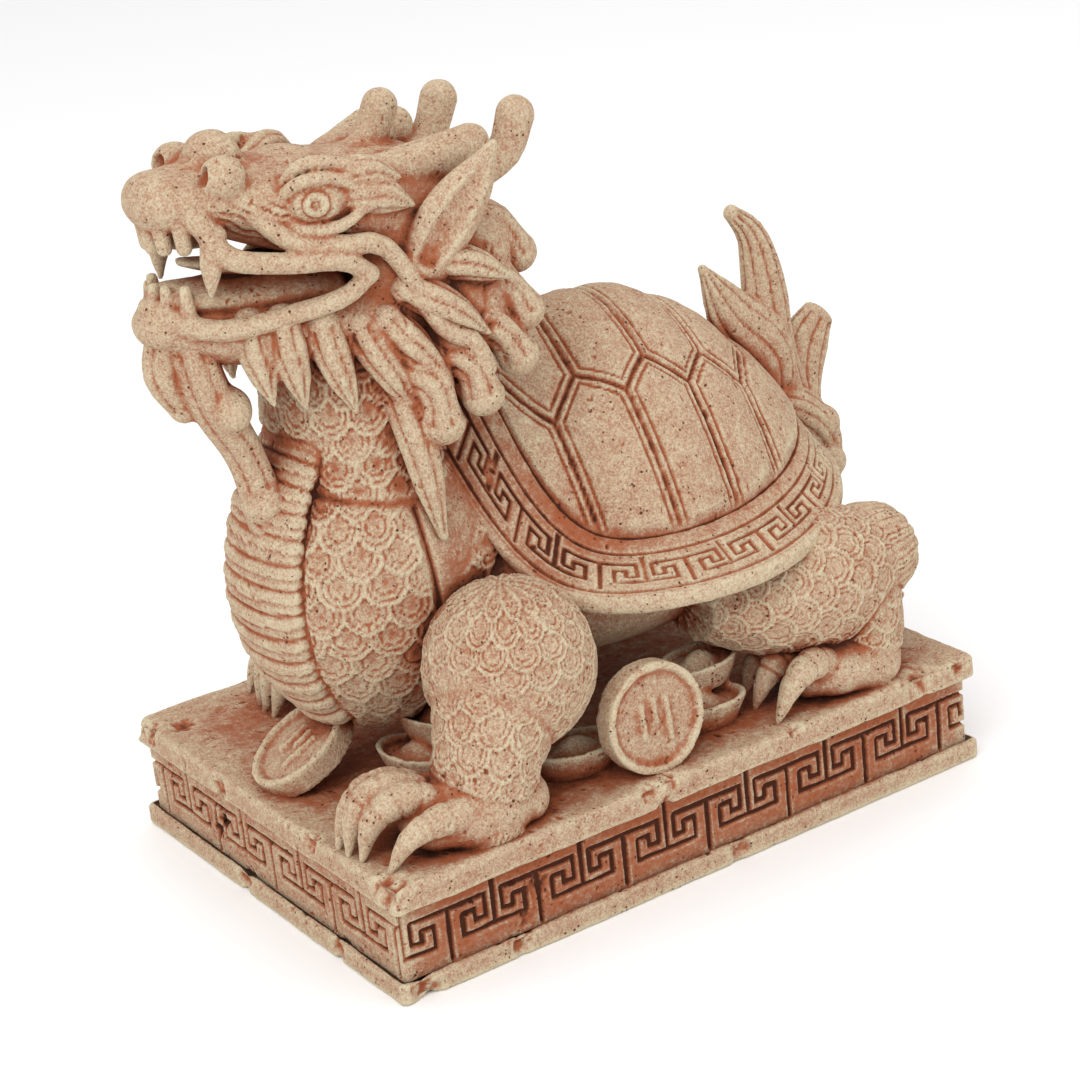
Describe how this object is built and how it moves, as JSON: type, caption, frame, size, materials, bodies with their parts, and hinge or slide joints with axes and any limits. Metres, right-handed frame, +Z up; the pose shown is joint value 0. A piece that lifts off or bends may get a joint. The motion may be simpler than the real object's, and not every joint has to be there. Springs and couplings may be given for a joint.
{
  "type": "dragon turtle aquarium ornament",
  "caption": "Cast resin dragon turtle with a dragon's head and a scuted shell, on a rectangular plinth with an incised square-spiral band, with coins and ingots at its feet.",
  "frame": {"origin": "middle of the plinth's flat underside", "axes": "+Z up, -Y the way the head looks along the plinth's long sides, +X the animal's left"},
  "size_m": [0.142, 0.2114, 0.2058],
  "materials": {
    "cast_resin": "matt terracotta cast resin with a cream dry-brushed finish on the raised parts"
  },
  "bodies": {
    "root": {"dragon_turtle": "cast_resin"}
  },
  "joints": []
}
